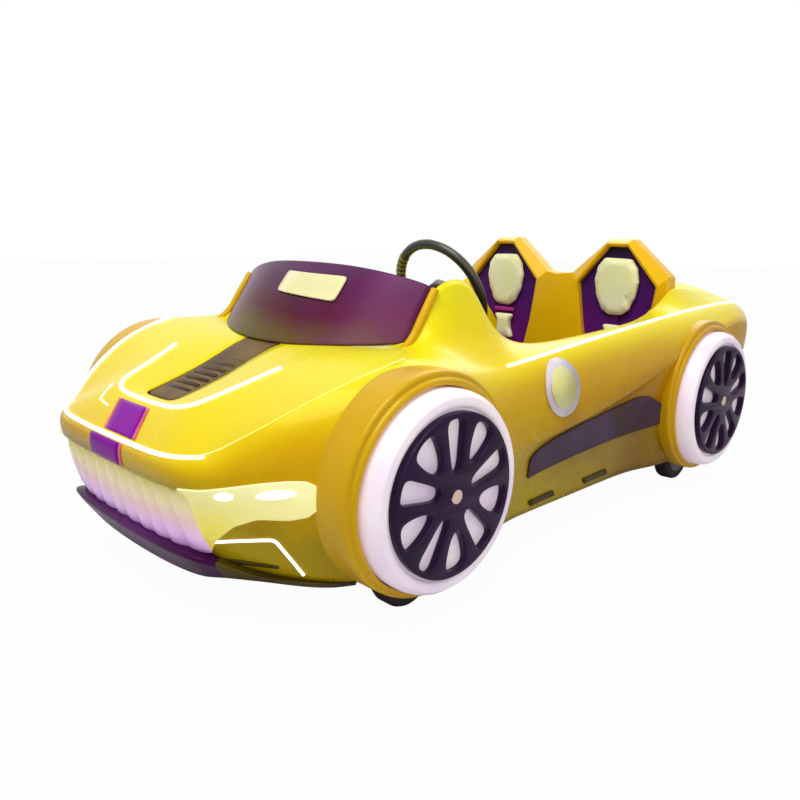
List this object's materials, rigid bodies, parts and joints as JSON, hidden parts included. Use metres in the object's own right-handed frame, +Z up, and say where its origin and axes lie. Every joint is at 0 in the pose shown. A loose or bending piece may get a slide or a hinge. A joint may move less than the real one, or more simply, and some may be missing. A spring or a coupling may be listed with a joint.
{
  "type": "kiddie car ride",
  "caption": "Open two-seat battery ride car for children: lit strips, fixed display wheels, small steered road wheels.",
  "frame": {"origin": "on the floor under the middle of the wheelbase, which is also the middle of the length", "axes": "+Z up, the front of the car points along -Y, +X is the car's left side"},
  "size_m": [1.15, 1.93, 0.703],
  "materials": {
    "body_gold": "glossy golden yellow, clear coated",
    "dark_trim": "glossy purple-black",
    "dark_upholstery": "dark purple, satin",
    "pale_pad": "pale yellow, satin",
    "screen_tint": "tinted purple to dark red",
    "lamp_lit": "milky, lit",
    "cover_lit": "milky pink-white, lit",
    "spoke_dark": "glossy purple-black",
    "frame_paint": "black paint, satin",
    "steel": "zinc plated",
    "tyre": "black solid rubber",
    "hub_plastic": "dark moulded plastic",
    "wheel_grip": "black moulded plastic",
    "motor_case": "grey paint",
    "battery_case": "black plastic case",
    "floor_plastic": "dark moulded plastic"
  },
  "bodies": {
    "car_body": {"front_shell": "body_gold", "rear_shell": "body_gold", "side_shell_left": "body_gold", "side_shell_right": "body_gold", "cowl": "body_gold", "seat_wall": "body_gold", "splitter": "dark_trim", "rear_bumper": "dark_trim", "dash_top": "dark_trim", "dash_panel": "dark_trim", "seat_left": "dark_upholstery", "seat_right": "dark_upholstery", "seat_cushion_left": "dark_upholstery", "seat_cushion_right": "dark_upholstery", "seat_pads_left": "pale_pad", "seat_pads_right": "pale_pad", "windscreen": "screen_tint", "grille": "lamp_lit", "headlight_left": "lamp_lit", "headlight_right": "lamp_lit", "nose_light_strip": "lamp_lit", "hood_light_strip": "lamp_lit", "shoulder_light_strips": "lamp_lit", "tail_lamp": "lamp_lit", "wheel_covers_front": "cover_lit", "wheel_covers_rear": "cover_lit", "spoke_discs_front": "spoke_dark", "spoke_discs_rear": "spoke_dark", "chassis_frame": "frame_paint", "front_axle": "frame_paint", "rear_axle": "frame_paint", "steering_column": "frame_paint", "motor": "motor_case", "battery": "battery_case", "floor_pan": "floor_plastic"},
    "steering": {"steering_wheel": "wheel_grip"},
    "knuckle_left": {"knuckle_left": "steel"},
    "knuckle_right": {"knuckle_right": "steel"},
    "tie_rod": {"tie_rod": "steel"},
    "front_wheel_left": {"front_hub_left": "hub_plastic", "front_tyre_left": "tyre"},
    "front_wheel_right": {"front_hub_right": "hub_plastic", "front_tyre_right": "tyre"},
    "rear_wheel_left": {"rear_hub_left": "hub_plastic", "rear_tyre_left": "tyre"},
    "rear_wheel_right": {"rear_hub_right": "hub_plastic", "rear_tyre_right": "tyre"}
  },
  "joints": [
    {"name": "steer_left", "type": "hinge", "parent": "car_body", "child": "knuckle_left", "pos_m": [0.36, -0.575, 0.0725], "axis": [0, 0, 1], "range_deg": [-25, 25]},
    {"name": "steer_right", "type": "hinge", "parent": "car_body", "child": "knuckle_right", "pos_m": [-0.36, -0.575, 0.0725], "axis": [0, 0, 1], "range_deg": [-25, 25]},
    {"name": "tie_rod_swing", "type": "hinge", "parent": "knuckle_left", "child": "tie_rod", "pos_m": [0.36, -0.515, 0.0855], "axis": [0, 0, 1], "range_deg": [-25, 25]},
    {"name": "steering_turn", "type": "hinge", "parent": "car_body", "child": "steering", "pos_m": [-0.20491, 0.227, 0.53], "axis": [0, -0.9171, -0.3987], "range_deg": [-34, 34]},
    {"name": "front_wheel_spin_left", "type": "hinge", "parent": "knuckle_left", "child": "front_wheel_left", "pos_m": [0.435, -0.575, 0.0725], "axis": [1, 0, 0], "continuous": true},
    {"name": "front_wheel_spin_right", "type": "hinge", "parent": "knuckle_right", "child": "front_wheel_right", "pos_m": [-0.435, -0.575, 0.0725], "axis": [1, 0, 0], "continuous": true},
    {"name": "rear_wheel_spin_left", "type": "hinge", "parent": "car_body", "child": "rear_wheel_left", "pos_m": [0.435, 0.575, 0.0725], "axis": [1, 0, 0], "continuous": true},
    {"name": "rear_wheel_spin_right", "type": "hinge", "parent": "car_body", "child": "rear_wheel_right", "pos_m": [-0.435, 0.575, 0.0725], "axis": [1, 0, 0], "continuous": true}
  ],
  "couplings": [
    {"joint": "steer_right", "follows": "steer_left", "ratio": 1},
    {"joint": "tie_rod_swing", "follows": "steer_left", "ratio": -1},
    {"joint": "steering_turn", "follows": "steer_left", "ratio": -1.3333}
  ]
}
